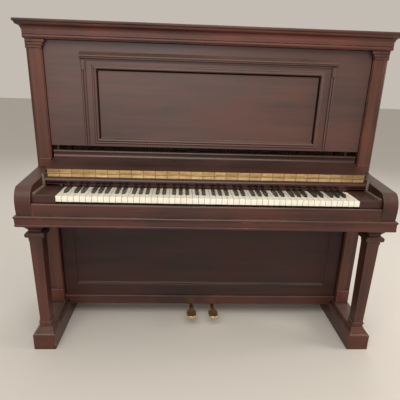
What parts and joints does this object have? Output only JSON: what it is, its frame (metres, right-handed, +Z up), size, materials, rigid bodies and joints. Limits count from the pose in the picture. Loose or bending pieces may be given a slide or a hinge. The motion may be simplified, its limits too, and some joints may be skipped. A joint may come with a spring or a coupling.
{
  "type": "upright piano",
  "caption": "Tall upright piano with sunk upper panel, pilasters, square tapered front legs on toe blocks, fold-back fallboard on a long brass hinge, half-fold lid and working keys.",
  "frame": {"origin": "on the floor, at the middle of the piano's width and depth", "axes": "+X towards the treble end, +Y from the player into the case, +Z up"},
  "size_m": [1.585, 0.7121, 1.39],
  "materials": {
    "mahogany_case": "satin",
    "mahogany_panel": "satin",
    "polished_board": "gloss",
    "hinge_brass": "worn",
    "pedal_brass": "polished",
    "ivory": "gloss",
    "ebony": "satin",
    "red_felt": "matte",
    "spruce": "satin",
    "back_timber": "matte",
    "maple": "satin",
    "hammer_felt": "matte",
    "iron": "painted",
    "dark_iron": "painted",
    "steel": "plain"
  },
  "bodies": {
    "case": {"action_frame": "dark_iron", "arms": "mahogany_case", "back_beams": "back_timber", "back_posts": "back_timber", "bottom_board": "back_timber", "bottom_rail": "mahogany_case", "bridges": "maple", "cornice": "mahogany_case", "fallboard_hinge_fixed": "hinge_brass", "front_legs": "mahogany_case", "iron_plate": "iron", "key_blocks": "mahogany_case", "key_frame": "spruce", "key_slip": "mahogany_case", "keybed": "mahogany_case", "keybed_moulding": "mahogany_case", "left_side": "mahogany_case", "lid_hinge_fixed": "hinge_brass", "lid_rear": "mahogany_case", "nameboard": "polished_board", "nameboard_felt": "red_felt", "panel_catch": "steel", "panel_mouldings": "mahogany_panel", "pedal_brackets": "dark_iron", "pilasters": "mahogany_case", "pin_block": "maple", "right_side": "mahogany_case", "soundboard": "spruce", "soundboard_ribs": "spruce", "strings": "steel", "toe_blocks": "mahogany_case", "tuning_pins": "steel", "upper_panel": "mahogany_panel", "wippens": "maple"},
    "fallboard": {"fallboard": "polished_board", "fallboard_hinge_leaf": "hinge_brass"},
    "lid_front": {"lid_front": "mahogany_case", "lid_hinge_leaf": "hinge_brass"},
    "lower_panel": {"lower_panel": "mahogany_panel"},
    "pedal_soft": {"pedal_soft": "pedal_brass"},
    "pedal_sustain": {"pedal_sustain": "pedal_brass"},
    "trap_lever_soft": {"trap_lever_soft": "back_timber"},
    "trap_lever_sustain": {"trap_lever_sustain": "back_timber"},
    "soft_rod": {"soft_rod": "back_timber"},
    "sustain_rod": {"sustain_rod": "back_timber"},
    "hammers": {"hammers": "hammer_felt", "hammer_rail": "maple"},
    "dampers": {"dampers": "hammer_felt"},
    "keys_a": {"keys_a": "ivory"},
    "keys_a_sharp": {"keys_a_sharp": "ebony"},
    "keys_b": {"keys_b": "ivory"},
    "keys_c": {"keys_c": "ivory"},
    "keys_c_sharp": {"keys_c_sharp": "ebony"},
    "keys_d": {"keys_d": "ivory"},
    "keys_d_sharp": {"keys_d_sharp": "ebony"},
    "keys_e": {"keys_e": "ivory"},
    "keys_f": {"keys_f": "ivory"},
    "keys_f_sharp": {"keys_f_sharp": "ebony"},
    "keys_g": {"keys_g": "ivory"},
    "keys_g_sharp": {"keys_g_sharp": "ebony"}
  },
  "joints": [
    {"name": "fallboard_hinge", "type": "hinge", "parent": "case", "child": "fallboard", "pos_m": [0, -0.181, 0.795], "axis": [1, 0, 0], "range_deg": [0, 174.5]},
    {"name": "lid_hinge", "type": "hinge", "parent": "case", "child": "lid_front", "pos_m": [0, 0.138, 1.3872], "axis": [-1, 0, 0], "range_deg": [0, 172]},
    {"name": "lower_panel_tilt", "type": "hinge", "parent": "case", "child": "lower_panel", "pos_m": [0, -0.02, 0.134], "axis": [1, 0, 0], "range_deg": [0, 14]},
    {"name": "key_a", "type": "hinge", "parent": "case", "child": "keys_a", "pos_m": [0, -0.107, 0.711], "axis": [1, 0, 0], "range_deg": [0, 2.5], "stiffness_Nm_per_rad": 8, "springref_deg": -6.88},
    {"name": "key_a_sharp", "type": "hinge", "parent": "case", "child": "keys_a_sharp", "pos_m": [0, -0.107, 0.711], "axis": [1, 0, 0], "range_deg": [0, 2.5], "stiffness_Nm_per_rad": 8, "springref_deg": -6.88},
    {"name": "key_b", "type": "hinge", "parent": "case", "child": "keys_b", "pos_m": [0, -0.107, 0.711], "axis": [1, 0, 0], "range_deg": [0, 2.5], "stiffness_Nm_per_rad": 8, "springref_deg": -6.88},
    {"name": "key_c", "type": "hinge", "parent": "case", "child": "keys_c", "pos_m": [0, -0.107, 0.711], "axis": [1, 0, 0], "range_deg": [0, 2.5], "stiffness_Nm_per_rad": 8, "springref_deg": -6.88},
    {"name": "key_c_sharp", "type": "hinge", "parent": "case", "child": "keys_c_sharp", "pos_m": [0, -0.107, 0.711], "axis": [1, 0, 0], "range_deg": [0, 2.5], "stiffness_Nm_per_rad": 8, "springref_deg": -6.88},
    {"name": "key_d", "type": "hinge", "parent": "case", "child": "keys_d", "pos_m": [0, -0.107, 0.711], "axis": [1, 0, 0], "range_deg": [0, 2.5], "stiffness_Nm_per_rad": 8, "springref_deg": -6.88},
    {"name": "key_d_sharp", "type": "hinge", "parent": "case", "child": "keys_d_sharp", "pos_m": [0, -0.107, 0.711], "axis": [1, 0, 0], "range_deg": [0, 2.5], "stiffness_Nm_per_rad": 8, "springref_deg": -6.88},
    {"name": "key_e", "type": "hinge", "parent": "case", "child": "keys_e", "pos_m": [0, -0.107, 0.711], "axis": [1, 0, 0], "range_deg": [0, 2.5], "stiffness_Nm_per_rad": 8, "springref_deg": -6.88},
    {"name": "key_f", "type": "hinge", "parent": "case", "child": "keys_f", "pos_m": [0, -0.107, 0.711], "axis": [1, 0, 0], "range_deg": [0, 2.5], "stiffness_Nm_per_rad": 8, "springref_deg": -6.88},
    {"name": "key_f_sharp", "type": "hinge", "parent": "case", "child": "keys_f_sharp", "pos_m": [0, -0.107, 0.711], "axis": [1, 0, 0], "range_deg": [0, 2.5], "stiffness_Nm_per_rad": 8, "springref_deg": -6.88},
    {"name": "key_g", "type": "hinge", "parent": "case", "child": "keys_g", "pos_m": [0, -0.107, 0.711], "axis": [1, 0, 0], "range_deg": [0, 2.5], "stiffness_Nm_per_rad": 8, "springref_deg": -6.88},
    {"name": "key_g_sharp", "type": "hinge", "parent": "case", "child": "keys_g_sharp", "pos_m": [0, -0.107, 0.711], "axis": [1, 0, 0], "range_deg": [0, 2.5], "stiffness_Nm_per_rad": 8, "springref_deg": -6.88},
    {"name": "pedal_sustain", "type": "hinge", "parent": "case", "child": "pedal_sustain", "pos_m": [0.055, 0.108, 0.066], "axis": [1, 0, 0], "range_deg": [0, 6], "stiffness_Nm_per_rad": 60, "springref_deg": -11.46},
    {"name": "pedal_soft", "type": "hinge", "parent": "case", "child": "pedal_soft", "pos_m": [-0.055, 0.108, 0.066], "axis": [1, 0, 0], "range_deg": [0, 6], "stiffness_Nm_per_rad": 60, "springref_deg": -11.46},
    {"name": "sustain_lever_pivot", "type": "hinge", "parent": "case", "child": "trap_lever_sustain", "pos_m": [0.345, 0.098, 0.139], "axis": [0, -1, 0], "range_deg": [0, 2]},
    {"name": "soft_lever_pivot", "type": "hinge", "parent": "case", "child": "trap_lever_soft", "pos_m": [-0.345, 0.098, 0.139], "axis": [0, 1, 0], "range_deg": [0, 2]},
    {"name": "sustain_rod_lift", "type": "slide", "parent": "case", "child": "sustain_rod", "axis": [0, 0, 1], "range_m": [0, 0.011]},
    {"name": "soft_rod_lift", "type": "slide", "parent": "case", "child": "soft_rod", "axis": [0, 0, 1], "range_m": [0, 0.011]},
    {"name": "damper_lift", "type": "hinge", "parent": "case", "child": "dampers", "pos_m": [0, 0.173, 0.962], "axis": [1, 0, 0], "range_deg": [0, 3.5]},
    {"name": "hammer_rail_swing", "type": "hinge", "parent": "case", "child": "hammers", "pos_m": [0, 0.124, 1.018], "axis": [-1, 0, 0], "range_deg": [0, 7.5]}
  ],
  "couplings": [
    {"joint": "sustain_lever_pivot", "follows": "pedal_sustain", "ratio": 0.28333},
    {"joint": "sustain_rod_lift", "follows": "pedal_sustain", "m_per_rad": 0.09072},
    {"joint": "damper_lift", "follows": "pedal_sustain", "ratio": 0.55},
    {"joint": "soft_lever_pivot", "follows": "pedal_soft", "ratio": 0.28333},
    {"joint": "soft_rod_lift", "follows": "pedal_soft", "m_per_rad": 0.09072},
    {"joint": "hammer_rail_swing", "follows": "pedal_soft", "ratio": 1.2}
  ]
}
